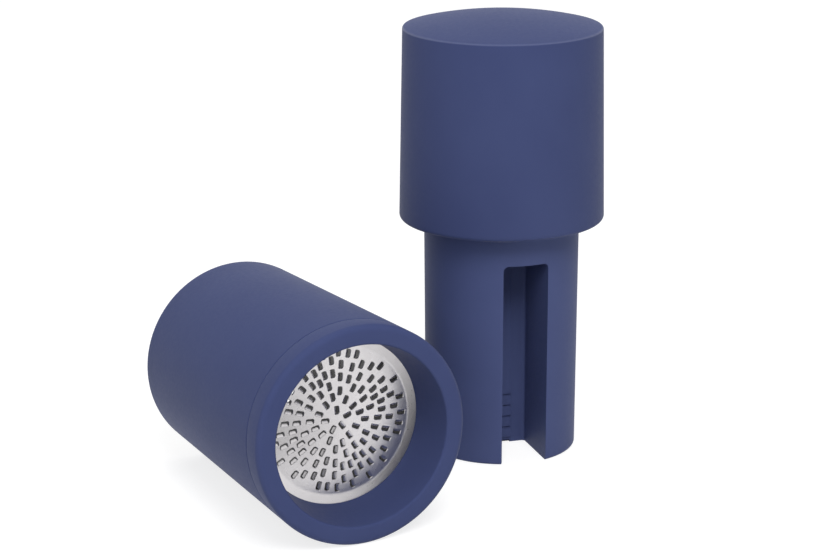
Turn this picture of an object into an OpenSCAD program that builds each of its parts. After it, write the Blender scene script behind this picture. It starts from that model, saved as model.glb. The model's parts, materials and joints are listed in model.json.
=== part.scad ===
// Hand-held grater for whole nutmegs, shown taken apart.
// The barrel lies on its side with its blade end to the front. The plunger stands beside it on its foot.

/* [Barrel] */
// Radius of the barrel at its blade end
base_r = 32.5; // [28:0.1:37]
// How much smaller the barrel's radius is at its mouth
barrel_taper = 2.05; // [0.5:0.05:3]
// Length of the barrel from blade end to mouth
barrel_len = 91.4; // [86:0.2:96]
// Wall of the outer sleeve
shell_wall = 2; // [1.6:0.1:2.2]
// Rounding of the mouth's outer edge
mouth_edge_r = 1.5; // [0.8:0.1:1.6]
// Gap between the outer and the inner sleeve at the mouth
sleeve_gap = 2.25; // [1.8:0.05:2.6]
// Wall of the inner sleeve that guides the plunger
liner_wall = 1.8; // [1.4:0.1:2]
// Thickness of the inner sleeve's flange at the mouth
liner_flange = 2.2; // [1.6:0.1:3]
// Number of ribs between the inner and the outer sleeve
liner_ribs = 6; // [3:1:10]
// Thickness of each rib
liner_rib_w = 1.4; // [1:0.1:2.5]

/* [Base ring] */
// Height of the band that shows round the blade end
band_h = 8.2; // [7:0.1:9.5]
// Width of the seam between the band and the outer sleeve
seam_w = 0.3; // [0.2:0.05:0.5]
// Rounding of the ring's outer edge
base_edge_r = 1.9; // [1:0.1:2.5]
// Width of the end face, from the barrel's outside to the funnel
face_w = 5.75; // [4.6:0.05:6.4]
// Rounding of the funnel's edge at the end face
rim_edge_r = 0.8; // [0.4:0.1:1]
// How much smaller the funnel's radius is where it meets the blade
funnel_taper = 1.85; // [1:0.05:2.2]
// Depth of the blade's seat behind the end face
seat_depth = 16.4; // [14.5:0.1:17]
// Radius of the snap bead on the ring's neck
bead_r = 0.5; // [0.3:0.05:0.6]

/* [Blade] */
// Thickness of the steel sheet
blade_t = 0.4; // [0.3:0.05:0.5]
// Width of the seat that carries the blade's rim, outside the funnel
blade_lap = 2.15; // [1.2:0.05:2.6]
// Width of the pressed shoulder round the flat field of teeth
shoulder_w = 3; // [2:0.1:3.6]
// Height of the flat field above the blade's rim
field_rise = 0.65; // [0.4:0.05:0.8]
// Length of each tooth opening, along the radius
slot_len = 2.45; // [2:0.05:2.6]
// Width of each tooth opening
slot_w = 1.4; // [1:0.05:1.5]
// Height of each tooth above the sheet
tooth_h = 0.5; // [0.4:0.05:0.8]
// Thickness of a tooth at its cutting edge
tooth_edge_t = 0.22; // [0.15:0.01:0.3]

/* [Cap] */
// How far the cap's radius reaches past the barrel's mouth
cap_overhang = 1.35; // [0.8:0.05:2.5]
// How much smaller the cap's radius is at its top
cap_taper = 1.1; // [0:0.1:2]
// Height of the cap's side, from its lower edge to the edge of its domed top
cap_h = 59.8; // [50:0.2:70]
// Height of the dome on the cap
cap_dome = 3.9; // [1:0.1:6]
// Rounding of the cap's top edge
cap_top_edge_r = 0.8; // [0.4:0.1:2]
// Rounding of the cap's lower edge
cap_low_edge_r = 1.3; // [0.6:0.1:1.6]
// Wall of the cap
cap_wall = 2.3; // [1.8:0.1:2.4]
// Thickness of the cap's top
cap_roof = 2.6; // [2:0.1:4]

/* [Plunger stem] */
// Length of the stem from its foot to the cap's lower edge
stem_len = 73.7; // [70:0.1:78]
// How much smaller the stem's radius is at its foot
stem_taper = 0.5; // [0:0.05:1]
// Wall of the stem
stem_wall = 2; // [1.6:0.1:2.4]
// Thickness of the stem's closed foot
foot_t = 2.2; // [1.6:0.1:4]
// Rounding of the foot's outer edge
foot_edge_r = 1.1; // [0.5:0.1:1.5]
// Thickness of the flange that closes the cap
flange_t = 4.6; // [4:0.1:6]
// Running gap between the stem and the inner sleeve
bore_gap = 0.3; // [0.2:0.05:0.5]

/* [Nutmeg channel] */
// Width of the channel
channel_w = 14.4; // [12:0.1:17]
// Distance of the channel's back wall from the stem's axis
channel_back = 2.6; // [1:0.1:5]
// Height of the channel above the foot
channel_h = 64; // [50:0.5:66]
// Rounding of the channel's inner corners
channel_corner_r = 1; // [0.5:0.1:2]
// Rounding of the channel's upper corners, seen from the front
channel_top_r = 1.6; // [0.8:0.1:3]
// Turn of the channel's mouth towards the barrel, in degrees from the front
channel_turn = 9.3; // [0:0.1:30]

/* [Grip strip] */
// Width of the strip on the channel's back wall
strip_w = 4.6; // [3:0.1:6]
// Height of the strip above the back wall
strip_proud = 0.8; // [0.4:0.1:1.5]
// Depth of the strip's groove in the back wall
strip_seat = 1; // [0.5:0.1:1.2]
// Number of grip teeth
grip_teeth = 5; // [3:1:8]
// Pitch of the grip teeth
grip_pitch = 3.6; // [2.5:0.1:4.5]
// Height of each grip tooth
grip_tooth_h = 0.6; // [0.3:0.1:1]

/* [Glide ring] */
// Gap between the ring and the inside of the cap
glide_inset = 2; // [1:0.1:2.5]
// Thickness of the ring
glide_t = 2.4; // [2:0.1:3]
// How far the ring stands below the cap's lower edge
glide_proud = 0.95; // [0.8:0.05:1.2]
// Depth of the ring's groove in the stem
neck_groove = 0.35; // [0.3:0.05:0.5]

/* [Screws] */
// Number of screws that hold the stem in the cap
screw_count = 3; // [3:1:5]
// Distance of the screws' centres from the inside of the cap
screw_inset = 3.2; // [3:0.1:3.4]
// Radius of the screw's shank
screw_r = 1; // [0.8:0.1:1.1]
// Length of the screw's shank
screw_len = 9; // [6:0.5:12]
// Radius of the screw's head
screw_head_r = 1.9; // [1.7:0.1:2]
// Height of the screw's head
screw_head_h = 1.4; // [1:0.1:1.5]

/* [Layout] */
// Gap between the barrel and the cap, seen from the front
stand_gap = 12.4; // [5:0.1:30]
// Distance of the stem's axis behind the barrel's blade end
stand_back = 59.9; // [50:0.1:70]

/* [Hidden] */

$fn = 64;
// Overrun of every cut past the face that it leaves
over = 1;
// Clearance between pieces that are pressed or screwed together
fit_gap = 0.05;
// Clearance between pieces that turn or slide beside each other
run_gap = 0.3;
// Clearance between the liner's ribs and the outer sleeve
rib_gap = 0.2;
// Steps in each rounded edge of a turned outline
arc_steps = 4;
// Steps in the blade's pressed shoulder
shoulder_steps = 5;
// Steps in the cap's dome
dome_steps = 6;
// Height of the chamfer that clears the blade's shoulder at the end of the inner sleeve
liner_lead = 0.6;
// Steps in each eased corner of a tooth opening
slot_steps = 1;
// Facets of the snap bead and its groove
bead_facets = 12;
// Facets round a screw, its hole and its boss
screw_facets = 32;
// Wall left round a screw in the cap
boss_wall = 1.95;
// Height of the screw bosses above the flange
boss_h = 14;
// Thickness of the web that ties a boss to the cap's wall
boss_web_w = 2;
// Length of the lead-in at the end of the ring's neck
neck_lead = 0.5;

navy = [0.22, 0.25, 0.42];
black_plastic = [0.09, 0.09, 0.11];
steel = [0.78, 0.78, 0.79];
pale_plastic = [0.83, 0.83, 0.8];

// Share of the slot's width that the tooth covers, from its root side
tooth_reach_share = 0.62;
// Share of the slot's width that eases its corners
slot_corner_share = 0.3;
// Share of the shoulder's width over which it bends out of the flat field
shoulder_ease_share = 0.3;
// Share of the sheet's thickness by which a tooth laps over the edge that it is pressed from
root_lap_share = 0.625;
// Share of the sheet's thickness by which a tooth's root lies below the sheet's face
root_sink_share = 0.15;
// Share of the neck's length at which the snap bead sits
bead_place_share = 0.55;
// Share of a pitch from the foot to the first grip tooth's ledge
grip_start_share = 0.6;
// Share of a pitch that a grip tooth's slope takes
grip_slope_share = 0.8;

// Places of the teeth in one quarter of the field: degrees, and share of the field's radius
quarter_shares = [
    [11, 0.33], [35, 0.28], [65, 0.29],
    [13, 0.49], [32, 0.45], [46, 0.51], [60, 0.47], [84, 0.40],
    [5, 0.65], [15, 0.66], [24, 0.59], [34, 0.63], [45, 0.70], [59, 0.64], [72, 0.565], [85, 0.59],
    [5, 0.83], [17, 0.815], [25, 0.755], [35, 0.795], [53, 0.835], [63, 0.80], [72, 0.73], [85, 0.76],
    [12, 0.93], [28, 0.94], [45.5, 0.91], [71, 0.91], [79, 0.91], [88, 0.93]];
// Places of the five teeth round the centre
centre_shares = [[19, 0.15], [93, 0.14], [175, 0.18], [238, 0.14], [307, 0.1]];

// Half angle of the barrel's taper, which is also how far its axis dips as it lies
lie = atan(barrel_taper / barrel_len);
mouth_r = base_r - barrel_taper;
liner_r = mouth_r - shell_wall - sleeve_gap;
bore_r = liner_r - liner_wall;
rim_r = base_r - face_w;
funnel_end_r = rim_r - funnel_taper;
neck_end = seat_depth + blade_t;
blade_r = funnel_end_r + blade_lap;
shoulder_r = funnel_end_r;
field_r = shoulder_r - shoulder_w;
stem_top_r = bore_r - bore_gap;
stem_foot_r = stem_top_r - stem_taper;
neck_r = stem_top_r - neck_groove;
glide_low = stem_len - glide_proud;
glide_top = glide_low + glide_t;
flange_low = stem_len + run_gap;
flange_top = flange_low + flange_t;
ring_roof = glide_top + run_gap;
head_roof = ring_roof + screw_head_h + fit_gap * 3;
cap_r = mouth_r + cap_overhang;
cap_top_r = cap_r - cap_taper;
cap_bore_r = cap_r - cap_wall;
glide_r = cap_bore_r - glide_inset;
screw_ring_r = cap_bore_r - screw_inset;
flange_r = cap_bore_r - fit_gap * 2;
pocket_r = screw_ring_r + screw_head_r + fit_gap * 2;
boss_r = screw_r + boss_wall;
// Radius of the sphere that the cap's dome is part of, and the height of its centre
dome_r = (cap_top_r * cap_top_r + cap_dome * cap_dome) / (2 * cap_dome);
dome_centre = stem_len + cap_h + cap_dome - dome_r;
// How far the lying barrel reaches in front of and behind the centre of its end face
front_reach = (base_r - base_edge_r) * sin(lie);
back_reach = (mouth_r - mouth_edge_r) * sin(lie) + (barrel_len - mouth_edge_r) * cos(lie) + mouth_edge_r;
// Widest radius of the barrel, where the base ring's rounded edge ends
widest_r = base_r - barrel_taper * base_edge_r / barrel_len;
// Distance between the barrel's axis and the stem's axis, seen from the front
axis_gap = base_r + stand_gap + cap_r;

barrel_x = (widest_r - axis_gap - cap_r) / 2;
barrel_y = (front_reach - max(back_reach, stand_back + cap_r)) / 2;
stem_x = barrel_x + axis_gap;
stem_y = barrel_y + stand_back;

// Radius of the barrel's outside, at a depth behind the blade end
function barrel_r(depth) = base_r - (base_r - mouth_r) * depth / barrel_len;
// Radius inside the outer sleeve
function shell_bore_r(depth) = barrel_r(depth) - shell_wall;
// Radius of the stem at a height above its foot
function stem_r(height) = stem_foot_r + (stem_top_r - stem_foot_r) * height / stem_len;
// Radius of the cap's outside at a height above its lower edge
function cap_side_r(height) = cap_r - (cap_r - cap_top_r) * height / cap_h;
// Points of a rounded corner, from one angle to another
function corner(centre, radius, from, to) =
    [for (i = [0:arc_steps]) let (a = from + (to - from) * i / arc_steps)
        centre + radius * [cos(a), sin(a)]];
// Height of the blade's face across the pressed shoulder: a short bend, then a straight slope to the rim
function shoulder(share) = let (ease = shoulder_ease_share, run = 1 - ease / 2)
    seat_depth + field_rise * (1 - (share < ease ? share * share / (2 * ease) : share - ease / 2) / run);
// Points of a dome over the cap's axis, from its edge at a reach to its crown
function dome_arc(radius, reach) = [for (i = [dome_steps:-1:0]) let (a = asin(reach / radius) * i / dome_steps)
    [radius * sin(a), dome_centre + radius * cos(a)]];

// Puts a piece modelled along +Z, from the blade end to the mouth, where the barrel lies
module lie_down() {
    translate([barrel_x, barrel_y, base_r * cos(lie)]) rotate([-90 - lie, 0, 0]) children();
}

// Puts a piece modelled round the Z axis where the plunger stands
module stand_up() {
    translate([stem_x, stem_y, 0]) children();
}

module ring_of_screws() {
    for (i = [0:screw_count - 1])
        rotate([0, 0, i * 360 / screw_count]) translate([screw_ring_r, 0, 0]) children();
}

// Outer sleeve, tapered towards the mouth, with the snap groove for the base ring
module barrel_shell() {
    low = band_h + seam_w / 2;
    bead_depth = band_h + (neck_end - band_h) * bead_place_share;
    color(navy) lie_down() difference() {
        rotate_extrude() polygon(concat(
            [[shell_bore_r(low), low], [barrel_r(low), low]],
            corner([barrel_r(barrel_len - mouth_edge_r) - mouth_edge_r, barrel_len - mouth_edge_r],
                   mouth_edge_r, 0, 90),
            [[shell_bore_r(barrel_len), barrel_len]]));
        rotate_extrude() translate([shell_bore_r(bead_depth), bead_depth])
            circle(r = bead_r + fit_gap * 2, $fn = bead_facets);
    }
}

// Inner sleeve that guides the stem, with a flange at the mouth and ribs to the outer sleeve
module barrel_liner() {
    flange_depth = barrel_len - liner_flange;
    lead_r = shoulder_r + 2 * fit_gap;
    color(black_plastic) lie_down() difference() {
        union() {
            translate([0, 0, neck_end]) cylinder(r = liner_r, h = barrel_len - neck_end);
            translate([0, 0, flange_depth])
                cylinder(r1 = shell_bore_r(flange_depth) - fit_gap,
                         r2 = shell_bore_r(barrel_len) - fit_gap, h = liner_flange);
            intersection() {
                for (i = [0:liner_ribs - 1]) rotate([0, 0, i * 360 / liner_ribs])
                    translate([0, -liner_rib_w / 2, neck_end + run_gap])
                        cube([base_r, liner_rib_w, flange_depth - neck_end]);
                cylinder(r1 = shell_bore_r(0) - rib_gap,
                         r2 = shell_bore_r(barrel_len) - rib_gap, h = barrel_len);
            }
        }
        translate([0, 0, neck_end - over]) cylinder(r = bore_r, h = barrel_len);
        translate([0, 0, neck_end - liner_lead])
            cylinder(r1 = 2 * lead_r - bore_r, r2 = bore_r, h = 2 * liner_lead);
    }
}

// Ring at the blade end: rounded band, flat end face, funnel up to the blade, neck inside the sleeve
module base_ring() {
    shoulder_depth = band_h - seam_w / 2;
    bead_depth = band_h + (neck_end - band_h) * bead_place_share;
    seat_r = blade_r + fit_gap * 2;
    color(navy) lie_down() union() {
        rotate_extrude() polygon(concat(
            [[funnel_end_r, seat_depth]],
            corner([rim_r + rim_edge_r, rim_edge_r], rim_edge_r, 180, 270),
            corner([barrel_r(base_edge_r) - base_edge_r, base_edge_r], base_edge_r, -90, 0),
            [[barrel_r(shoulder_depth), shoulder_depth],
             [shell_bore_r(shoulder_depth) - fit_gap, shoulder_depth],
             [shell_bore_r(neck_end) - fit_gap, neck_end - neck_lead],
             [shell_bore_r(neck_end) - neck_lead, neck_end],
             [seat_r, neck_end],
             [seat_r, seat_depth]]));
        rotate_extrude() translate([shell_bore_r(bead_depth) - fit_gap, bead_depth])
            circle(r = bead_r, $fn = bead_facets);
    }
}

// One opening of the blade, cut through the sheet, with eased corners on the side that its tooth leaves open
module tooth_slot() {
    r = slot_w * slot_corner_share;
    x = slot_len / 2 - r;
    y = slot_w / 2 - r;
    translate([0, 0, seat_depth]) linear_extrude(field_rise + blade_t + over)
        polygon(concat(
            [for (i = [0:slot_steps]) let (a = 90 * i / slot_steps) [x + r * cos(a), y + r * sin(a)]],
            [for (i = [0:slot_steps]) let (a = 90 + 90 * i / slot_steps) [-x + r * cos(a), y + r * sin(a)]],
            [[-slot_len / 2, -slot_w / 2], [slot_len / 2, -slot_w / 2]]));
}

// One tooth: a tongue that leans over its opening and ends in a thin cutting edge
module tooth() {
    face = seat_depth + field_rise + blade_t;
    root = -slot_w / 2;
    tip = root + slot_w * tooth_reach_share;
    lap = blade_t * root_lap_share;
    sink = blade_t * root_sink_share;
    translate([slot_len / 2, 0, 0]) rotate([90, 0, -90]) linear_extrude(slot_len)
        polygon([[-root + lap, face - sink],
                 [-tip, face + tooth_h],
                 [-tip, face + tooth_h - tooth_edge_t],
                 [-root + sink, face - blade_t + sink]]);
}

// Calls its children at every tooth's place, turned so that +X runs along the radius
module tooth_places() {
    for (quarter = [0:3], place = quarter_shares)
        rotate([0, 0, -place[0] - quarter * 90]) translate([place[1] * field_r, 0, 0]) children();
    for (place = centre_shares)
        rotate([0, 0, -place[0]]) translate([place[1] * field_r, 0, 0]) children();
}

// Steel disc, pressed up to a flat field of teeth that lean towards the nutmeg
module grater_blade() {
    steps = [for (i = [0:shoulder_steps]) i / shoulder_steps];
    back = [for (s = steps) [field_r + (shoulder_r - field_r) * s, shoulder(s)]];
    front = [for (i = [shoulder_steps:-1:0]) back[i] + [0, blade_t]];
    face = seat_depth + field_rise;
    color(steel) lie_down() union() {
        difference() {
            rotate_extrude() polygon(concat(
                [[0, face]], back, [[blade_r, seat_depth], [blade_r, neck_end]], front,
                [[0, face + blade_t]]));
            tooth_places() tooth_slot();
        }
        tooth_places() tooth();
    }
}

// Ring that the cap turns on, snapped into a groove under the cap
module glide_ring() {
    color(pale_plastic) stand_up() difference() {
        translate([0, 0, glide_low]) cylinder(r = glide_r, h = glide_t);
        translate([0, 0, glide_low - over]) cylinder(r = neck_r + fit_gap, h = glide_t + 2 * over);
    }
}

// Cap that the hand turns: hollow under a domed top, with screw bosses on its wall
module cap_shell() {
    // The rounded edge runs inside the dome's sphere until both slopes agree
    edge_r = cap_top_r - cap_top_edge_r;
    edge_slope = asin(edge_r / (dome_r - cap_top_edge_r));
    edge_z = dome_centre + (dome_r - cap_top_edge_r) * cos(edge_slope);
    roof_r = cap_top_r - cap_wall;
    color(navy) stand_up() difference() {
        union() {
            rotate_extrude() polygon(concat(
                [[cap_bore_r, stem_len]],
                corner([cap_r - cap_low_edge_r, stem_len + cap_low_edge_r], cap_low_edge_r, -90, 0),
                corner([edge_r, edge_z], cap_top_edge_r, 0, 90 - edge_slope),
                dome_arc(dome_r, edge_r),
                [for (i = [dome_steps:-1:0]) dome_arc(dome_r - cap_roof, roof_r)[i]],
                [[cap_bore_r, flange_top]]));
            intersection() {
                ring_of_screws() {
                    translate([0, 0, flange_top]) cylinder(r = boss_r, h = boss_h, $fn = screw_facets);
                    translate([0, -boss_web_w / 2, flange_top]) cube([cap_wall * 2, boss_web_w, boss_h]);
                }
                translate([0, 0, stem_len]) cylinder(r1 = cap_r - cap_wall / 2,
                                                     r2 = cap_top_r - cap_wall / 2, h = cap_h);
            }
        }
        ring_of_screws() translate([0, 0, flange_top - over])
            cylinder(r = screw_r + fit_gap, h = screw_len + over, $fn = screw_facets);
    }
}

// Outline of the channel seen from above, open to the front
module channel_plan(wall) {
    w = channel_w + 2 * wall;
    r = channel_corner_r + wall;
    back = channel_back - wall;
    translate([-w / 2, -cap_r]) square([w, cap_r - back - r]);
    translate([-w / 2 + r, -back - 2 * r]) square([w - 2 * r, 2 * r]);
    for (side = [-1, 1]) translate([side * (w / 2 - r), -back - r]) circle(r = r);
}

// Outline of the channel seen from the front, open at the foot
module channel_front() {
    r = channel_top_r;
    translate([-channel_w / 2, -over]) square([channel_w, channel_h + over - r]);
    translate([-channel_w / 2 + r, 0]) square([channel_w - 2 * r, channel_h]);
    for (side = [-1, 1]) translate([side * (channel_w / 2 - r), channel_h - r]) circle(r = r);
}

// Space that the channel takes out of the stem
module channel_space() {
    intersection() {
        translate([0, 0, -over]) linear_extrude(channel_h + 2 * over) channel_plan(0);
        rotate([90, 0, 0]) linear_extrude(2 * cap_r) channel_front();
    }
}

// Hollow inside of the stem, which stops short of the channel's walls
module stem_hollow() {
    difference() {
        translate([0, 0, foot_t]) cylinder(r1 = stem_foot_r - stem_wall, r2 = neck_r - stem_wall,
                                           h = flange_top + over - foot_t);
        translate([0, 0, -over]) linear_extrude(channel_h + stem_wall + over) channel_plan(stem_wall);
    }
}

// Stem with its foot, nutmeg channel, ring groove and the flange that closes the cap
module plunger_stem() {
    color(navy) stand_up() rotate([0, 0, -channel_turn]) difference() {
        rotate_extrude() polygon(concat(
            [[0, 0]],
            corner([stem_foot_r - foot_edge_r, foot_edge_r], foot_edge_r, -90, 0),
            [[stem_r(glide_low - run_gap), glide_low - run_gap],
             [neck_r, glide_low - run_gap],
             [neck_r, ring_roof],
             [pocket_r, ring_roof],
             [pocket_r, flange_low],
             [flange_r, flange_low],
             [flange_r, flange_top],
             [0, flange_top]]));
        stem_hollow();
        channel_space();
        translate([-strip_w / 2 - fit_gap, -channel_back - over, -over])
            cube([strip_w + 2 * fit_gap, strip_seat + over, channel_h + over - channel_top_r]);
        rotate([0, 0, channel_turn]) ring_of_screws() {
            translate([0, 0, ring_roof - over])
                cylinder(r = screw_head_r + fit_gap, h = head_roof - ring_roof + over, $fn = screw_facets);
            translate([0, 0, ring_roof])
                cylinder(r = screw_r + fit_gap, h = flange_t + over, $fn = screw_facets);
        }
    }
}

// Toothed strip in the groove of the channel's back wall. Each tooth has a ledge towards the foot
module grip_strip() {
    face = channel_back + strip_proud;
    back = channel_back - strip_seat + fit_gap;
    top = channel_h - channel_top_r - fit_gap;
    low = foot_t / 2;
    color(navy) stand_up() rotate([0, 0, -channel_turn])
        translate([-strip_w / 2, 0, 0]) rotate([90, 0, 90]) linear_extrude(strip_w)
            polygon(concat(
                [[-back, top], [-back, low], [-face, low]],
                [for (i = [0:grip_teeth - 1], p = [0, 1, 2])
                    let (ledge = (i + grip_start_share) * grip_pitch)
                        [-face - (p == 1 ? grip_tooth_h : 0),
                         ledge + (p == 2 ? grip_pitch * grip_slope_share : 0)]],
                [[-face, top]]));
}

// Screws, driven up through the flange into the cap's bosses
module stem_screws() {
    color(steel) stand_up() ring_of_screws() {
        translate([0, 0, head_roof - screw_head_h])
            cylinder(r = screw_head_r, h = screw_head_h, $fn = screw_facets);
        translate([0, 0, head_roof - screw_head_h / 2])
            cylinder(r = screw_r, h = screw_len + screw_head_h / 2, $fn = screw_facets);
    }
}

barrel_shell();
barrel_liner();
base_ring();
grater_blade();
glide_ring();
cap_shell();
plunger_stem();
grip_strip();
stem_screws();
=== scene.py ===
"""Looks of the twist grater for nutmegs: navy mouldings, a toothed steel disc, floor, lights and camera."""

import json
import math

import bmesh
import bpy
from mathutils import Euler, Matrix, Vector

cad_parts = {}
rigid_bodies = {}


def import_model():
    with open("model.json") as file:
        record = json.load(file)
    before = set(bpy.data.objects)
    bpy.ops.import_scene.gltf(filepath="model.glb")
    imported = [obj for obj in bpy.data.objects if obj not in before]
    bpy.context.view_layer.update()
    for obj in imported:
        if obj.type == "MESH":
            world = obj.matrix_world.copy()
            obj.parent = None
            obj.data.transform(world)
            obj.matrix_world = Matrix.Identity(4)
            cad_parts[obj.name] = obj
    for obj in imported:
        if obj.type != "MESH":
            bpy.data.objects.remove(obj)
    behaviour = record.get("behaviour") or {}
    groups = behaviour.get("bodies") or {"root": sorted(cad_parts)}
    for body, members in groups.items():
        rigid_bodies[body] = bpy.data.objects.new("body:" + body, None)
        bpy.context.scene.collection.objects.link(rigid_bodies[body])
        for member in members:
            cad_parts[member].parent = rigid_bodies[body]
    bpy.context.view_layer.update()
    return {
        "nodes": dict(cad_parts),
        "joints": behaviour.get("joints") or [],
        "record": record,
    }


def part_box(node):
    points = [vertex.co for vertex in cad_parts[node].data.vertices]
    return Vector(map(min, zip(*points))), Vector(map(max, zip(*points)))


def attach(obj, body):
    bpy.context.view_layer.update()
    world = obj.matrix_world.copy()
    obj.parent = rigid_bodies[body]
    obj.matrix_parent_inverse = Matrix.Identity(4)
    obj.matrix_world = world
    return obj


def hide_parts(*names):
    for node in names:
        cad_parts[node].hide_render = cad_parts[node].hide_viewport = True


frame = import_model()
record = frame["record"]

MM = 0.001


# Places and sizes in millimetres, a few of them read from the frame

def span(node, axis):
    """Lowest and highest coordinate of a CAD node along one axis."""
    low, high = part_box(node)
    return low[axis] / MM, high[axis] / MM


def mount(name):
    return next(m for m in record["mounts"] if m["name"] == name)


base_face = mount("base_face")
twist = next(j for j in frame["joints"] if j["name"] == "plunger_twist")

barrel_x = sum(span("barrel_shell", 0)) / 2
barrel_depth_axis = -Vector(base_face["axis"])
barrel_right = Vector((1, 0, 0))
barrel_down = barrel_depth_axis.cross(barrel_right)
barrel_origin = Vector((barrel_x * MM, base_face["pos_m"][1], base_face["pos_m"][2]))
LYING = Matrix((
    (barrel_right.x, barrel_down.x, barrel_depth_axis.x, barrel_origin.x),
    (barrel_right.y, barrel_down.y, barrel_depth_axis.y, barrel_origin.y),
    (barrel_right.z, barrel_down.z, barrel_depth_axis.z, barrel_origin.z),
    (0, 0, 0, 1))) @ Matrix.Scale(MM, 4)
STANDING = Matrix.Translation((twist["pos_m"][0], twist["pos_m"][1], 0)) @ Matrix.Scale(MM, 4)

# Barrel
base_r = 32.5
barrel_taper = 2.05
barrel_len = 91.4
shell_wall = 2.0
mouth_edge_r = 1.5
sleeve_gap = 2.25
liner_wall = 1.8
liner_flange = 2.2
liner_lead = 0.6
seam_edge_r = 0.22
seam_w = 0.3
inner_edge_r = 0.3
snap_gap = 0.05

# Base ring
band_h = 8.2
base_edge_r = 1.9
rim_r = 26.75
rim_edge_r = 0.8
funnel_end_r = 24.9
funnel_end_edge_r = 0.12
seat_depth = 16.4
blade_gap = 0.1

# Blade
blade_t = 0.4
blade_r = 27.05
field_r = 21.9
shoulder_r = 24.9
shoulder_ease = 0.3
field_rise = 0.65
slot_len = 2.45
slot_w = 1.4
slot_corner_r = 0.46
root_corner_r = 0.14
slot_ease = 0.12
tooth_root_w = 0.18
tooth_rise = 0.4
tooth_reach = 0.86
tooth_gap = 0.24
tooth_curl = 1.5
tooth_tip_less = 0.35
tooth_tip_power = 5.0
tooth_root_share = 0.92
tooth_tip_thinning = 0.42

# Cap
cap_taper = 1.1
cap_wall = 2.3
cap_roof = 2.6
cap_dome = 3.9
cap_top_edge_r = 0.8
cap_low_edge_r = 1.3
cap_low = span("cap_shell", 2)[0]
cap_top = span("cap_shell", 2)[1]
cap_r = (span("cap_shell", 0)[1] - span("cap_shell", 0)[0]) / 2
cap_top_r = cap_r - cap_taper
dome_sphere_r = (cap_top_r ** 2 + cap_dome ** 2) / (2 * cap_dome)

# Stem
stem_foot_r = 23.6
stem_top_r = 24.1
foot_edge_r = 1.1
side_edge_r = 0.1
neck_groove = 0.35
run_gap = 0.3
pocket_r = 28.3
flange_gap = 0.1
channel_w = 14.4
channel_back = 2.6
channel_h = 64.0
channel_corner_r = 1.0
channel_top_r = 1.6
channel_turn = math.radians(9.3)
mouth_bevel = 0.45
flange_top = span("plunger_stem", 2)[1]

# Cutters of the channel and of the strip's groove: how far they reach past the stem
cutter_over = 5.0
plan_cutter_reach = 40.0
front_cutter_reach = 60.0
groove_over = 1.0

# How an edge of the channel's mouth is told from the other edges of the stem
mouth_sharp_from = math.radians(35)
mouth_clear = 0.8
roof_slack = 1.0
back_slack = 0.5
side_slack = 0.3
round_slack = 1.5

# Glide ring
glide_low, glide_top = span("glide_ring", 2)
glide_snap_gap = 0.05
glide_inner_edge_r = 0.2
glide_outer_edge_r = 0.3

# Grip strip
strip_w = 4.6
strip_proud = 0.8
strip_seat = 1.0
strip_gap = 0.05
grip_low = 1.1
grip_edge_r = 0.12
grip_teeth = 5
grip_pitch = 3.6
grip_tooth_h = 0.6
grip_start_share = 0.6
grip_slope_share = 0.8

# Places of the teeth in one quarter of the field: degrees, and share of the field's radius
quarter_shares = [
    (11, 0.33), (35, 0.28), (65, 0.29),
    (13, 0.49), (32, 0.45), (46, 0.51), (60, 0.47), (84, 0.40),
    (5, 0.65), (15, 0.66), (24, 0.59), (34, 0.63), (45, 0.70), (59, 0.64), (72, 0.565), (85, 0.59),
    (5, 0.83), (17, 0.815), (25, 0.755), (35, 0.795), (53, 0.835), (63, 0.80), (72, 0.73), (85, 0.76),
    (12, 0.93), (28, 0.94), (45.5, 0.91), (71, 0.91), (79, 0.91), (88, 0.93)]
# Places of the five teeth round the centre
centre_shares = [(19, 0.15), (93, 0.14), (175, 0.18), (238, 0.14), (307, 0.1)]


# Shapes

# In millimetres: points nearer than this are one, radii under this are on the axis, and edges under this go
weld_reach = 1e-5
on_axis_r = 1e-6
shortest_edge = 1e-4


def rounded(points, steps=8):
    """Outline with its corners rounded. Each point is (across, up, radius of its rounding)."""
    outline = []
    for i, (x, y, radius) in enumerate(points):
        here = Vector((x, y))
        if not radius:
            outline.append(here)
            continue
        before = (Vector(points[i - 1][:2]) - here).normalized()
        after = (Vector(points[(i + 1) % len(points)][:2]) - here).normalized()
        half = before.angle(after) / 2
        centre = here + (before + after).normalized() * radius / math.sin(half)
        start = here + before * radius / math.tan(half) - centre
        sweep = start.angle_signed(here + after * radius / math.tan(half) - centre)
        for k in range(steps + 1):
            outline.append(centre + Matrix.Rotation(-sweep * k / steps, 2) @ start)
    return outline


def finish_mesh(bm, name, place, sharp_angle=32):
    """Object at the origin from a mesh in a unit's own millimetres, with outward faces and smooth curves."""
    bmesh.ops.remove_doubles(bm, verts=bm.verts, dist=weld_reach)
    bmesh.ops.recalc_face_normals(bm, faces=bm.faces)
    mesh = bpy.data.meshes.new(name)
    bm.to_mesh(mesh)
    bm.free()
    mesh.transform(place)
    mesh.shade_smooth()
    mesh.set_sharp_from_angle(angle=math.radians(sharp_angle))
    piece = bpy.data.objects.new(name, mesh)
    bpy.context.scene.collection.objects.link(piece)
    return piece


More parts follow.
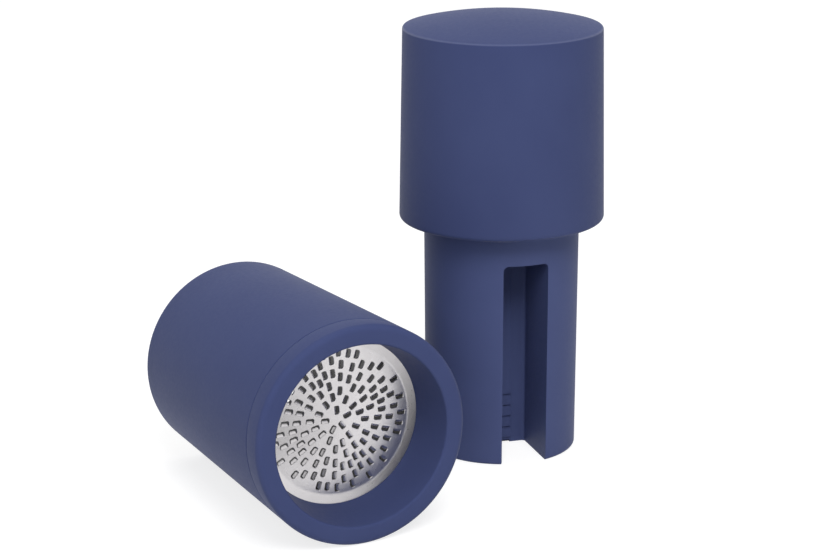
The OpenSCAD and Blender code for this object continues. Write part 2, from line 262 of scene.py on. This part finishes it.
def turned(outline, angles):
    """Mesh turned round the Z axis from a closed outline of (radius, height), with a column at each angle."""
    bm = bmesh.new()
    columns = []
    for a in angles:
        columns.append([bm.verts.new((p[0] * math.cos(a), p[0] * math.sin(a), p[1])) for p in outline])
    count = len(outline)
    for i, column in enumerate(columns):
        beside = columns[(i + 1) % len(columns)]
        for k in range(count):
            j = (k + 1) % count
            if max(outline[k][0], outline[j][0]) < on_axis_r:
                continue
            corners = [column[k], column[j]]
            if outline[j][0] > on_axis_r:
                corners.append(beside[j])
            if outline[k][0] > on_axis_r:
                corners.append(beside[k])
            bm.faces.new(corners)
    bmesh.ops.remove_doubles(bm, verts=bm.verts, dist=weld_reach)
    bmesh.ops.recalc_face_normals(bm, faces=bm.faces)
    return bm


def even_angles(columns):
    return [2 * math.pi * i / columns for i in range(columns)]


def turned_piece(name, points, place, columns=180):
    return finish_mesh(turned(rounded(points), even_angles(columns)), name, place)


def prism(outline, low, high):
    """Mesh of a closed outline in X and Y, from one height to another."""
    bm = bmesh.new()
    face = bm.faces.new([bm.verts.new((p[0], p[1], low)) for p in outline])
    moved = bmesh.ops.extrude_face_region(bm, geom=[face])
    for v in moved["geom"]:
        if isinstance(v, bmesh.types.BMVert):
            v.co.z = high
    bmesh.ops.recalc_face_normals(bm, faces=bm.faces)
    return bm


def scratch_object(bm, name):
    mesh = bpy.data.meshes.new(name)
    bm.to_mesh(mesh)
    bm.free()
    piece = bpy.data.objects.new(name, mesh)
    bpy.context.scene.collection.objects.link(piece)
    return piece


def baked(piece):
    """Plain mesh of a piece with its modifiers, and the piece without them."""
    bpy.context.view_layer.update()
    evaluated = piece.evaluated_get(bpy.context.evaluated_depsgraph_get())
    mesh = bpy.data.meshes.new_from_object(evaluated)
    piece.modifiers.clear()
    piece.data = mesh
    return piece


def cut(piece, cutters):
    """Takes the cutters out of the piece."""
    for cutter in cutters:
        modifier = piece.modifiers.new("cut", "BOOLEAN")
        modifier.operation = "DIFFERENCE"
        modifier.solver = "EXACT"
        modifier.object = cutter
    baked(piece)
    for cutter in cutters:
        bpy.data.objects.remove(cutter)
    return piece


def barrel_r(depth):
    return base_r - barrel_taper * depth / barrel_len


def shell_bore_r(depth):
    return barrel_r(depth) - shell_wall


# Materials

# Features for each metre: clouds in the colour, marks in the gloss, and grain
plastic_clouds = 55
plastic_marks = 900
plastic_grain = 5200
steel_clouds = 120
steel_marks = 2600
steel_grain = 9000
# How far the roughness goes up and down
plastic_roughness_play = 0.04
steel_roughness_play = 0.03
steel_grain_height = 0.000003


def new_material(name):
    material = bpy.data.materials.new(name)
    material.use_nodes = True
    nodes = material.node_tree.nodes
    return material, nodes, material.node_tree.links, nodes["Principled BSDF"]


def noise(nodes, links, scale, detail=3.0):
    """Noise on Object coordinates. Scale is in features for each metre."""
    place = nodes.new("ShaderNodeTexCoord")
    texture = nodes.new("ShaderNodeTexNoise")
    texture.inputs["Scale"].default_value = scale
    texture.inputs["Detail"].default_value = detail
    links.new(place.outputs["Object"], texture.inputs["Vector"])
    return texture.outputs["Fac"]


def spread(nodes, links, source, low, high):
    """Maps a noise onto a range of values."""
    node = nodes.new("ShaderNodeMapRange")
    node.inputs["From Min"].default_value = 0.3
    node.inputs["From Max"].default_value = 0.7
    node.inputs["To Min"].default_value = low
    node.inputs["To Max"].default_value = high
    links.new(source, node.inputs["Value"])
    return node.outputs["Result"]


def tinted(nodes, links, source, dark, light):
    """Mixes two colours by a noise."""
    node = nodes.new("ShaderNodeMix")
    node.data_type = "RGBA"
    node.inputs["A"].default_value = (*dark, 1)
    node.inputs["B"].default_value = (*light, 1)
    links.new(spread(nodes, links, source, 0, 1), node.inputs["Factor"])
    return node.outputs["Result"]


def grain(nodes, links, shader, scale, height, strength):
    """Fine bump of a moulded or etched surface. Height is in metres."""
    bump = nodes.new("ShaderNodeBump")
    bump.inputs["Strength"].default_value = strength
    bump.inputs["Distance"].default_value = height
    links.new(noise(nodes, links, scale, 2.0), bump.inputs["Height"])
    links.new(bump.outputs["Normal"], shader.inputs["Normal"])


def plastic(name, dark, light, roughness, gloss, grain_height):
    """Moulded plastic: faint clouds in its colour, uneven gloss and a very fine grain."""
    material, nodes, links, shader = new_material(name)
    clouds = noise(nodes, links, plastic_clouds)
    links.new(tinted(nodes, links, clouds, dark, light), shader.inputs["Base Color"])
    marks = noise(nodes, links, plastic_marks, 4.0)
    smoothest = roughness - plastic_roughness_play
    roughest = roughness + plastic_roughness_play
    rough = spread(nodes, links, marks, smoothest, roughest)
    links.new(rough, shader.inputs["Roughness"])
    shader.inputs["Specular IOR Level"].default_value = gloss
    grain(nodes, links, shader, plastic_grain, grain_height, 0.35)
    return material


def polished_edge(material, height, half_width, gloss):
    """More gloss in a narrow band at one height, where a moulding's edge is rubbed smooth."""
    nodes, links = material.node_tree.nodes, material.node_tree.links
    shader = nodes["Principled BSDF"]
    place = nodes.new("ShaderNodeTexCoord")
    parts = nodes.new("ShaderNodeSeparateXYZ")
    links.new(place.outputs["Object"], parts.inputs["Vector"])
    off = nodes.new("ShaderNodeMath")
    off.operation = "SUBTRACT"
    off.inputs[1].default_value = height
    links.new(parts.outputs["Z"], off.inputs[0])
    far = nodes.new("ShaderNodeMath")
    far.operation = "ABSOLUTE"
    links.new(off.outputs[0], far.inputs[0])
    band = nodes.new("ShaderNodeMapRange")
    band.interpolation_type = "SMOOTHSTEP"
    band.inputs["From Min"].default_value = 0
    band.inputs["From Max"].default_value = half_width
    band.inputs["To Min"].default_value = gloss
    band.inputs["To Max"].default_value = shader.inputs["Specular IOR Level"].default_value
    links.new(far.outputs[0], band.inputs["Value"])
    links.new(band.outputs["Result"], shader.inputs["Specular IOR Level"])
    return material


def steel(name, dark, light, roughness):
    """Satin sheet steel with an etched grain."""
    material, nodes, links, shader = new_material(name)
    shader.inputs["Metallic"].default_value = 1
    clouds = noise(nodes, links, steel_clouds)
    links.new(tinted(nodes, links, clouds, dark, light), shader.inputs["Base Color"])
    marks = noise(nodes, links, steel_marks, 4.0)
    smoothest = roughness - steel_roughness_play
    roughest = roughness + steel_roughness_play
    rough = spread(nodes, links, marks, smoothest, roughest)
    links.new(rough, shader.inputs["Roughness"])
    grain(nodes, links, shader, steel_grain, steel_grain_height, 0.3)
    return material


coat_navy = (0.045, 0.059, 0.148), (0.049, 0.064, 0.157)
soft_touch = plastic("soft_touch_navy", *coat_navy, 0.55, 0.1, 0.000012)
cap_coat = plastic("soft_touch_navy_cap", *coat_navy, 0.55, 0.1, 0.000012)
polished_edge(cap_coat, (cap_top - cap_dome - 0.2) * MM, 0.0004, 1.0)
stem_plastic = plastic("satin_navy", (0.061, 0.078, 0.183), (0.065, 0.083, 0.193), 0.55, 0.1, 0.00001)
inner_plastic = plastic("inner_charcoal", (0.012, 0.012, 0.013), (0.016, 0.016, 0.017), 0.3, 0.15, 0.000006)
glide_plastic = plastic("slippery_white", (0.60, 0.60, 0.56), (0.66, 0.66, 0.62), 0.3, 0.4, 0.000004)
etched_steel = steel("etched_steel", (0.67, 0.65, 0.66), (0.71, 0.69, 0.70), 0.3)
screw_steel = steel("screw_steel", (0.50, 0.50, 0.51), (0.58, 0.58, 0.59), 0.28)


def dress(piece, material, body, slot, *nodes):
    """Gives a finished piece its material and its body, and hides the CAD nodes that it stands for. The slot
    is not used.
    """
    piece.data.materials.clear()
    piece.data.materials.append(material)
    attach(piece, body)
    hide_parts(*nodes)
    return piece


# Barrel

def outer_sleeve():
    low = band_h + seam_w / 2
    return turned_piece("outer_sleeve", [
        (shell_bore_r(low), low, 0),
        (barrel_r(low), low, seam_edge_r),
        (barrel_r(barrel_len), barrel_len, mouth_edge_r),
        (shell_bore_r(barrel_len), barrel_len, inner_edge_r)], LYING)


def inner_sleeve():
    low = seat_depth + blade_t
    outer = base_r - barrel_taper - shell_wall - sleeve_gap
    bore = outer - liner_wall
    flange = barrel_len - liner_flange
    rim = shell_bore_r(barrel_len) - snap_gap
    return turned_piece("inner_sleeve", [
        (bore, low + liner_lead, 0),
        (shoulder_r + blade_gap, low, 0),
        (outer, low, inner_edge_r),
        (outer, flange, 0),
        (rim, flange, 0),
        (rim, barrel_len, inner_edge_r),
        (bore, barrel_len, inner_edge_r * 2)], LYING)


def blade_end_ring():
    high = band_h - seam_w / 2
    neck_r = shell_bore_r(high) - snap_gap
    end = seat_depth + blade_t
    return turned_piece("blade_end_ring", [
        (funnel_end_r, seat_depth, funnel_end_edge_r),
        (rim_r, 0, rim_edge_r),
        (base_r, 0, base_edge_r),
        (barrel_r(high), high, seam_edge_r),
        (neck_r, high, 0),
        (shell_bore_r(end) - snap_gap, end, inner_edge_r),
        (blade_r + blade_gap, end, 0),
        (blade_r + blade_gap, seat_depth, 0)], LYING, 216)


# Blade

def blade_disc():
    """Sheet steel disc with its pressed shoulder, before the teeth are cut."""
    steps = 14
    back = []
    for i in range(steps + 1):
        share = i / steps
        fall = share - shoulder_ease / 2
        if share < shoulder_ease:
            fall = share ** 2 / (2 * shoulder_ease)
        back.append((field_r + (shoulder_r - field_r) * share,
                     seat_depth + field_rise * (1 - fall / (1 - shoulder_ease / 2))))
    face = seat_depth + field_rise
    outline = [(0, face), *back, (blade_r, seat_depth), (blade_r, seat_depth + blade_t)]
    outline += [(r, z + blade_t) for r, z in reversed(back)] + [(0, face + blade_t)]
    return scratch_object(turned(outline, even_angles(144)), "blade_disc")


def tooth_points():
    """One point for each tooth, with its turn as an attribute."""
    places = [(quarter * 90 + turn, share) for quarter in range(4) for turn, share in quarter_shares]
    places += centre_shares
    mesh = bpy.data.meshes.new("tooth_points")
    mesh.from_pydata([(math.cos(math.radians(-turn)) * share * field_r,
                       math.sin(math.radians(-turn)) * share * field_r, 0) for turn, share in places], [], [])
    turns = mesh.attributes.new("turn", "FLOAT", "POINT")
    turns.data.foreach_set("value", [math.radians(-turn) for turn, share in places])
    points = bpy.data.objects.new("tooth_points", mesh)
    bpy.context.scene.collection.objects.link(points)
    return points


class Tree:
    """Short hand for building a Geometry Nodes tree."""

    def __init__(self, name):
        self.tree = bpy.data.node_groups.new(name, "GeometryNodeTree")
        self.ids = {}
        self.tree.interface.new_socket("Geometry", in_out="OUTPUT", socket_type="NodeSocketGeometry")
        self.tree.interface.new_socket("Geometry", in_out="INPUT", socket_type="NodeSocketGeometry")
        self.inputs = self.tree.nodes.new("NodeGroupInput")
        self.outputs = self.tree.nodes.new("NodeGroupOutput")

    def value(self, name, kind="NodeSocketFloat"):
        socket = self.tree.interface.new_socket(name, in_out="INPUT", socket_type=kind)
        self.ids[name] = socket.identifier
        return self.inputs.outputs[name]

    def node(self, kind, settings=None, **sockets):
        made = self.tree.nodes.new(kind)
        for key, setting in (settings or {}).items():
            setattr(made, key, setting)
        for key, source in sockets.items():
            self.join(source, made.inputs[key.replace("_", " ")])
        return made

    def join(self, source, socket):
        if isinstance(source, bpy.types.NodeSocket):
            self.tree.links.new(source, socket)
        else:
            socket.default_value = source

    def math(self, operation, a, b=0.0):
        made = self.tree.nodes.new("ShaderNodeMath")
        made.operation = operation
        self.join(a, made.inputs[0])
        self.join(b, made.inputs[1])
        return made.outputs[0]

    def vector(self, x=0.0, y=0.0, z=0.0):
        return self.node("ShaderNodeCombineXYZ", X=x, Y=y, Z=z).outputs[0]


def slot_cutter(t, length, width, corners, ease, height):
    """Solid of a slot's outline, wider at its low end where its edges are eased."""
    extra = t.math("MULTIPLY", ease, 4.0)
    low_length = t.math("ADD", length, extra)
    low_width = t.math("ADD", width, extra)
    outline = t.node("GeometryNodeCurvePrimitiveQuadrilateral", Width=low_length, Height=low_width)
    at = t.node("ShaderNodeSeparateXYZ", Vector=t.node("GeometryNodeInputPosition").outputs[0])
    open_side = t.math("GREATER_THAN", at.outputs["Y"], 0.0)
    wider = t.math("MULTIPLY", open_side, t.math("SUBTRACT", corners[0], corners[1]))
    radius = t.math("ADD", t.math("ADD", corners[1], wider), t.math("MULTIPLY", ease, 2.0))
    eased = t.node("GeometryNodeFilletCurve", {"mode": "POLY"},
                   Curve=outline.outputs[0], Count=4, Radius=radius).outputs[0]
    flat = t.node("GeometryNodeFillCurve", {"mode": "NGONS"}, Curve=eased).outputs[0]
    walls = t.node("GeometryNodeExtrudeMesh",
                   Mesh=flat, Offset=t.vector(z=height), Offset_Scale=1.0, Individual=False)
    slim_x = t.math("MULTIPLY", at.outputs["X"], t.math("DIVIDE", length, low_length))
    slim_y = t.math("MULTIPLY", at.outputs["Y"], t.math("DIVIDE", width, low_width))
    slim = t.node("GeometryNodeSetPosition", Geometry=walls.outputs["Mesh"], Selection=walls.outputs["Top"],
                  Position=t.vector(slim_x, slim_y, at.outputs["Z"])).outputs[0]
    under = t.node("GeometryNodeFlipFaces", Mesh=flat).outputs[0]
    joined = t.node("GeometryNodeJoinGeometry")
    t.join(slim, joined.inputs[0])
    t.join(under, joined.inputs[0])
    return t.node("GeometryNodeMergeByDistance", Geometry=joined.outputs[0], Distance=0.0001).outputs[0]


def on_each(t, points, shape, facing):
    """Copies of a shape on the points, turned to face along their slots, as plain geometry."""
    copies = t.node("GeometryNodeInstanceOnPoints", Points=points, Instance=shape, Rotation=facing).outputs[0]
    return t.node("GeometryNodeRealizeInstances", Geometry=copies).outputs[0]


def teeth_tree():
    """Cuts a rounded slot at each point and presses a tooth up over it."""
    t = Tree("cut_and_pressed_teeth")
    places = t.value("Tooth places", "NodeSocketObject")
    length = t.value("Slot length")
    width = t.value("Slot width")
    corner = t.value("Slot corner radius")
    root_corner = t.value("Root corner radius")
    ease = t.value("Slot edge ease")
    sheet = t.value("Sheet thickness")
    depth = t.value("Depth of the field")
    rise = t.value("Tooth rise")
    reach = t.value("Tooth reach")
    gap = t.value("Gap beside a tooth")
    metal = t.value("Material", "NodeSocketMaterial")

    points = t.node("GeometryNodeObjectInfo", Object=places).outputs["Geometry"]
    turn = t.node("GeometryNodeInputNamedAttribute", {"data_type": "FLOAT"}, Name="turn")
    facing = t.vector(z=turn.outputs["Attribute"])

    straight = slot_cutter(t, length, width, (corner, root_corner), 0.0, t.math("MULTIPLY", sheet, 4.0))
    eased = slot_cutter(t, length, width, (corner, root_corner), ease, t.math("MULTIPLY", ease, 2.0))
    below = t.math("SUBTRACT", depth, t.math("MULTIPLY", sheet, 1.5))
    holed = t.inputs.outputs["Geometry"]
    for cutter, low in ((straight, below), (eased, t.math("SUBTRACT", depth, ease))):
        placed = t.node("GeometryNodeTransform", Geometry=cutter, Translation=t.vector(z=low)).outputs[0]
        solid = on_each(t, points, placed, facing)
        less = t.node("GeometryNodeMeshBoolean", {"operation": "DIFFERENCE", "solver": "EXACT"})
        t.join(holed, less.inputs["Mesh 1"])
        t.join(solid, less.inputs["Mesh 2"])
        holed = less.outputs["Mesh"]

    block = t.node("GeometryNodeMeshCube", Size=(1, 1, 1), Vertices_X=7, Vertices_Y=9, Vertices_Z=2)
    block = block.outputs["Mesh"]
    at = t.node("ShaderNodeSeparateXYZ", Vector=t.node("GeometryNodeInputPosition").outputs[0])
    share = t.math("SINE", t.math("MULTIPLY", t.math("ADD", at.outputs["Y"], 0.5), math.pi / 2))
    bend = t.math("POWER", share, tooth_curl)
    less = t.math("MULTIPLY", t.math("POWER", share, tooth_tip_power), tooth_tip_less)
    slim = t.math("SUBTRACT", 1.0, less)
    across = t.math("SUBTRACT", length, t.math("MULTIPLY", gap, 2.0))
    tooth_x = t.math("MULTIPLY", at.outputs["X"], t.math("MULTIPLY", slim, across))
    root = t.math("SUBTRACT", t.math("MULTIPLY", width, -0.5), tooth_root_w)
    tooth_y = t.math("ADD", root, t.math("MULTIPLY", share, reach))
    thinner = t.math("SUBTRACT", tooth_root_share, t.math("MULTIPLY", share, tooth_tip_thinning))
    thick = t.math("MULTIPLY", sheet, thinner)
    middle = t.math("ADD", depth, t.math("MULTIPLY", sheet, 0.5))
    lifted = t.math("ADD", middle, t.math("MULTIPLY", bend, rise))
    tooth_z = t.math("ADD", lifted, t.math("MULTIPLY", at.outputs["Z"], thick))
    shaped = t.vector(tooth_x, tooth_y, tooth_z)
    tooth = t.node("GeometryNodeSetPosition", Geometry=block, Position=shaped).outputs[0]
    solid_teeth = on_each(t, points, tooth, facing)
    whole = t.node("GeometryNodeMeshBoolean", {"operation": "UNION", "solver": "EXACT"})
    t.tree.links.new(holed, whole.inputs["Mesh 2"])
    t.tree.links.new(solid_teeth, whole.inputs["Mesh 2"])
    made = t.node("GeometryNodeRealizeInstances", Geometry=whole.outputs["Mesh"]).outputs[0]
    coated = t.node("GeometryNodeSetMaterial", Geometry=made, Material=metal).outputs[0]
    t.tree.links.new(coated, t.outputs.inputs[0])
    return t


def toothed_disc():
    disc = blade_disc()
    points = tooth_points()
    t = teeth_tree()
    teeth = disc.modifiers.new("teeth", "NODES")
    teeth.node_group = t.tree
    sizes = {"Tooth places": points, "Slot length": slot_len, "Slot width": slot_w,
             "Slot corner radius": slot_corner_r, "Root corner radius": root_corner_r,
             "Slot edge ease": slot_ease, "Sheet thickness": blade_t,
             "Depth of the field": seat_depth + field_rise, "Tooth rise": tooth_rise,
             "Tooth reach": tooth_reach, "Gap beside a tooth": tooth_gap, "Material": etched_steel}
    for name, size in sizes.items():
        teeth[t.ids[name]] = size
    baked(disc)
    bpy.data.objects.remove(points)
    bm = bmesh.new()
    bm.from_mesh(disc.data)
    bpy.data.objects.remove(disc)
    return finish_mesh(bm, "toothed_disc", LYING, 28)


# Plunger

def cap():
    """Hollow cap under a dome that is part of a sphere."""
    bore = cap_r - cap_wall
    outside = dome_arc(dome_sphere_r, cap_top_r)
    roof = dome_arc(dome_sphere_r - cap_roof, cap_top_r - cap_wall)
    return turned_piece("cap", [
        (bore, cap_low, inner_edge_r),
        (cap_r, cap_low, cap_low_edge_r),
        (*outside[0], cap_top_edge_r),
        *[(*point, 0) for point in outside[1:]],
        *[(*point, 0) for point in reversed(roof)],
        (bore, flange_top, 0)], STANDING, 216)


def dome_arc(radius, reach, steps=20):
    """Points of an arc over the cap's axis, from its edge at a reach to its crown."""
    centre = cap_top - dome_sphere_r
    turns = [math.asin(reach / radius) * (steps - i) / steps for i in range(steps + 1)]
    return [(radius * math.sin(turn), centre + radius * math.cos(turn)) for turn in turns]


def channel_cutters():
    """Two prisms whose common part is the channel: one seen from above, one seen from the front."""
    half = channel_w / 2
    plan = rounded([
        (-half, -plan_cutter_reach, 0),
        (half, -plan_cutter_reach, 0),
        (half, -channel_back, channel_corner_r),
        (-half, -channel_back, channel_corner_r)])
    front = rounded([
        (-half, -cutter_over, 0),
        (half, -cutter_over, 0),
        (half, channel_h, channel_top_r),
        (-half, channel_h, channel_top_r)])
    upright = scratch_object(prism(plan, -cutter_over, channel_h + cutter_over), "plan_cutter")
    facing = prism(front, 0, front_cutter_reach)
    bmesh.ops.transform(facing, matrix=Matrix.Rotation(math.pi / 2, 4, "X"), verts=facing.verts)
    front_cutter = scratch_object(facing, "front_cutter")
    modifier = upright.modifiers.new("common", "BOOLEAN")
    modifier.operation = "INTERSECT"
    modifier.solver = "EXACT"
    modifier.object = front_cutter
    baked(upright)
    bpy.data.objects.remove(front_cutter)
    return upright


def stem_angles(inner_columns=12, outer_columns=150):
    """Columns of the stem, with none near the channel's mouth, where its edges are rounded."""
    mouth = math.asin(channel_w / 2 / stem_top_r)
    clear = mouth_clear / stem_top_r
    inner = mouth - clear
    outer = mouth + clear
    inside = [-inner + 2 * inner * i / inner_columns for i in range(inner_columns + 1)]
    outside = [outer + (2 * math.pi - 2 * outer) * i / outer_columns for i in range(outer_columns + 1)]
    return [a - math.pi / 2 for a in inside + outside]


def stem():
    side_top = glide_low - run_gap
    neck_r = stem_top_r - neck_groove
    roof = glide_top + run_gap
    flange_low = cap_low + run_gap
    flange_r = cap_r - cap_wall - flange_gap
    slope = (stem_top_r - stem_foot_r) / cap_low
    outline = rounded([
        (0, 0, 0),
        (stem_foot_r, 0, foot_edge_r),
        (stem_foot_r + slope * side_top, side_top, side_edge_r),
        (neck_r, side_top, 0),
        (neck_r, roof, 0),
        (pocket_r, roof, 0),
        (pocket_r, flange_low, 0),
        (flange_r, flange_low, 0),
        (flange_r, flange_top, 0),
        (0, flange_top, 0)])
    body = scratch_object(turned(outline, stem_angles()), "stem")
    half = strip_w / 2 + strip_gap
    front = -channel_back - groove_over
    seat = -channel_back + strip_seat
    groove = prism([(-half, front), (half, front), (half, seat), (-half, seat)],
                   -1, channel_h - channel_top_r)
    cut(body, [channel_cutters(), scratch_object(groove, "groove_cutter")])
    bm = bmesh.new()
    bm.from_mesh(body.data)
    bpy.data.objects.remove(body)
    bmesh.ops.dissolve_degenerate(bm, edges=bm.edges, dist=shortest_edge)
    edges = [e for e in bm.edges if mouth_edge(e)]
    bmesh.ops.bevel(bm, geom=edges, offset=mouth_bevel, offset_type="OFFSET", segments=4, profile=0.5,
                    affect="EDGES", clamp_overlap=True)
    turn = Matrix.Rotation(-channel_turn, 4, "Z")
    return finish_mesh(bm, "stem", STANDING @ turn, 30)


def mouth_edge(edge):
    """True for the sharp edges where the channel leaves the stem's round side or its foot."""
    if len(edge.link_faces) != 2 or edge.calc_face_angle(0) < mouth_sharp_from:
        return False
    a, b = (v.co for v in edge.verts)
    middle = (a + b) / 2
    if middle.z > channel_h + roof_slack or middle.y > -channel_back - back_slack:
        return False
    across = abs(middle.x) <= channel_w / 2 + side_slack
    return across and (middle.xy.length > stem_foot_r - round_slack or middle.z < foot_edge_r)


def nutmeg_grip():
    """Toothed strip on the channel's back wall."""
    face = channel_back + strip_proud
    back = channel_back - strip_seat + strip_gap
    top = channel_h - channel_top_r - strip_gap
    side = [(-back, top), (-back, grip_low), (-face, grip_low)]
    for i in range(grip_teeth):
        ledge = (i + grip_start_share) * grip_pitch
        side += [(-face, ledge), (-face - grip_tooth_h, ledge)]
        side.append((-face, ledge + grip_pitch * grip_slope_share))
    side.append((-face, top))
    bm = prism(side, -strip_w / 2, strip_w / 2)
    upright = Matrix(((0, 0, 1, 0), (1, 0, 0, 0), (0, 1, 0, 0), (0, 0, 0, 1)))
    bmesh.ops.transform(bm, matrix=upright, verts=bm.verts)
    edges = [e for e in bm.edges if e.calc_face_angle(0) > 0.5]
    bmesh.ops.bevel(bm, geom=edges, offset=grip_edge_r, segments=2, profile=0.5,
                    affect="EDGES", clamp_overlap=True)
    return finish_mesh(bm, "nutmeg_grip", STANDING @ Matrix.Rotation(-channel_turn, 4, "Z"), 30)


def turning_ring():
    inner = stem_top_r - neck_groove + glide_snap_gap
    left, right = span("glide_ring", 0)
    outer = (right - left) / 2
    return turned_piece("turning_ring", [
        (inner, glide_low, glide_inner_edge_r),
        (outer, glide_low, glide_outer_edge_r),
        (outer, glide_top, glide_outer_edge_r),
        (inner, glide_top, glide_inner_edge_r)], STANDING)


dress(outer_sleeve(), soft_touch, "barrel", "soft_touch", "barrel_shell")
dress(inner_sleeve(), inner_plastic, "barrel", "inner_plastic", "barrel_liner")
dress(blade_end_ring(), soft_touch, "barrel", "soft_touch", "base_ring")
dress(toothed_disc(), etched_steel, "barrel", "etched_steel", "grater_blade")
dress(cap(), cap_coat, "plunger", "soft_touch", "cap_shell")
dress(stem(), stem_plastic, "plunger", "stem_plastic", "plunger_stem")
dress(nutmeg_grip(), stem_plastic, "plunger", "stem_plastic", "grip_strip")
dress(turning_ring(), glide_plastic, "glide", "glide_plastic", "glide_ring")
frame["nodes"]["stem_screws"].data.materials.clear()
frame["nodes"]["stem_screws"].data.materials.append(screw_steel)


# Floor, light and camera

floor_w = 12.0
matt = 0.9
lit_floor_grey = 0.85
shown_floor_grey = 0.36
shown_floor_glow = 0.78


def matt_grey(shader, grey):
    """Plain surface with no gloss."""
    shader.inputs["Base Color"].default_value = (grey, grey, grey, 1)
    shader.inputs["Roughness"].default_value = matt
    shader.inputs["Specular IOR Level"].default_value = 0.0


def floor_material():
    """White floor: it keeps the shadow, and the lit part shows as the white background."""
    material, nodes, links, shader = new_material("studio_floor")
    output = nodes["Material Output"]
    matt_grey(shader, lit_floor_grey)
    shown = nodes.new("ShaderNodeBsdfPrincipled")
    matt_grey(shown, shown_floor_grey)
    shown.inputs["Emission Color"].default_value = (1, 1, 1, 1)
    shown.inputs["Emission Strength"].default_value = shown_floor_glow
    links.new(seen_ray(nodes, links), mix_shaders(nodes, links, shader, shown, output))
    return material


def mix_shaders(nodes, links, first, second, output):
    mix = nodes.new("ShaderNodeMixShader")
    links.new(first.outputs[0], mix.inputs[1])
    links.new(second.outputs[0], mix.inputs[2])
    links.new(mix.outputs[0], output.inputs["Surface"])
    return mix.inputs[0]


def seen_ray(nodes, links):
    """1 for a ray that shows the surroundings: straight to the camera, or by a reflection."""
    path = nodes.new("ShaderNodeLightPath")
    total = nodes.new("ShaderNodeMath")
    total.operation = "MAXIMUM"
    links.new(path.outputs["Is Camera Ray"], total.inputs[0])
    links.new(path.outputs["Is Glossy Ray"], total.inputs[1])
    more = nodes.new("ShaderNodeMath")
    more.operation = "MAXIMUM"
    links.new(total.outputs[0], more.inputs[0])
    links.new(path.outputs["Is Transmission Ray"], more.inputs[1])
    return more.outputs[0]


def make_floor():
    bm = bmesh.new()
    bmesh.ops.create_grid(bm, x_segments=1, y_segments=1, size=floor_w / 2)
    mesh = bpy.data.meshes.new("floor")
    bm.to_mesh(mesh)
    bm.free()
    floor = bpy.data.objects.new("floor", mesh)
    floor.data.materials.append(floor_material())
    bpy.context.scene.collection.objects.link(floor)


def make_world(ambient):
    world = bpy.data.worlds.new("studio")
    world.use_nodes = True
    nodes, links = world.node_tree.nodes, world.node_tree.links
    dim = nodes["Background"]
    dim.inputs["Color"].default_value = (1, 1, 1, 1)
    dim.inputs["Strength"].default_value = ambient
    white = nodes.new("ShaderNodeBackground")
    white.inputs["Color"].default_value = (1, 1, 1, 1)
    white.inputs["Strength"].default_value = 1.0
    links.new(seen_ray(nodes, links), mix_shaders(nodes, links, dim, white, nodes["World Output"]))
    bpy.context.scene.world = world


def rectangle(a, b):
    """Corners of a rectangle in order, from its two spans."""
    return [(a[0], b[0]), (a[1], b[0]), (a[1], b[1]), (a[0], b[1])]


def upright_card(x_span, y, z_span):
    return [(x, y, z) for x, z in rectangle(x_span, z_span)]


def lying_card(x_span, y_span, z):
    return [(x, y, z) for x, y in rectangle(x_span, y_span)]


def reflected_card(name, corners, grey):
    """Card that only reflections show: a painted dark reflection in the steel and in the plastics' gloss. The
    camera, diffuse light and shadows pass through it.
    """
    material, nodes, links, shader = new_material(name)
    matt_grey(shader, grey)
    mesh = bpy.data.meshes.new(name)
    mesh.from_pydata(corners, [], [(0, 1, 2, 3)])
    card = bpy.data.objects.new(name, mesh)
    card.data.materials.append(material)
    card.visible_camera = False
    card.visible_diffuse = False
    card.visible_shadow = False
    card.visible_transmission = False
    bpy.context.scene.collection.objects.link(card)


lamp_w = 0.7


def area_lamp(name, place, target, power):
    """Round lamp that lights the object but doesn't show in its gloss."""
    lamp = bpy.data.lights.new(name, "AREA")
    lamp.shape = "DISK"
    lamp.size = lamp_w
    lamp.energy = power
    holder = bpy.data.objects.new(name, lamp)
    holder.location = place
    holder.rotation_euler = (Vector(target) - Vector(place)).to_track_quat("-Z", "Y").to_euler()
    holder.visible_glossy = False
    bpy.context.scene.collection.objects.link(holder)


# The camera's place and aim, from the outlines of both units in the photograph
camera_place = Vector((-0.32354, -0.64654, 0.27006))
camera_heading = 26.717
camera_pitch = 16.016
camera_roll = 0.13
camera_lens = 108.06


def make_camera():
    data = bpy.data.cameras.new("camera")
    data.sensor_width = 36
    data.sensor_fit = "HORIZONTAL"
    data.lens = camera_lens
    data.clip_start = 0.05
    data.clip_end = 50
    camera = bpy.data.objects.new("camera", data)
    aim = Euler((math.radians(90 - camera_pitch), 0, math.radians(-camera_heading))).to_matrix().to_4x4()
    roll = Matrix.Rotation(math.radians(-camera_roll), 4, "Z")
    camera.matrix_world = Matrix.Translation(camera_place) @ aim @ roll
    bpy.context.scene.collection.objects.link(camera)
    bpy.context.scene.camera = camera


make_floor()
make_world(0.25)
middle = Vector((0, 0, 0.06))
area_lamp("key_light", (-0.22, -0.84, 1.03), middle, 11)
area_lamp("side_light", (-0.81, -0.81, 0.67), middle, 3)
area_lamp("top_light", (0, 0.05, 1.36), middle, 4)
area_lamp("back_light", (0.5, 0.86, 0.9), middle, 2)
make_camera()
# Painted dark and grey reflections: cards seen only in gloss, which darken the blade's shoulder and field
# where the surroundings are white.
reflected_card("dark_room", upright_card((-0.40, 0.06), -0.45, (0.0, 0.16)), 0.02)
reflected_card("dark_table", lying_card((-0.11, -0.008), (-0.45, -0.10), 0.0006), 0.02)
reflected_card("grey_table", lying_card((-0.40, -0.11), (-0.45, -0.10), 0.0006), 0.15)
bpy.context.scene.view_settings.view_transform = "Standard"
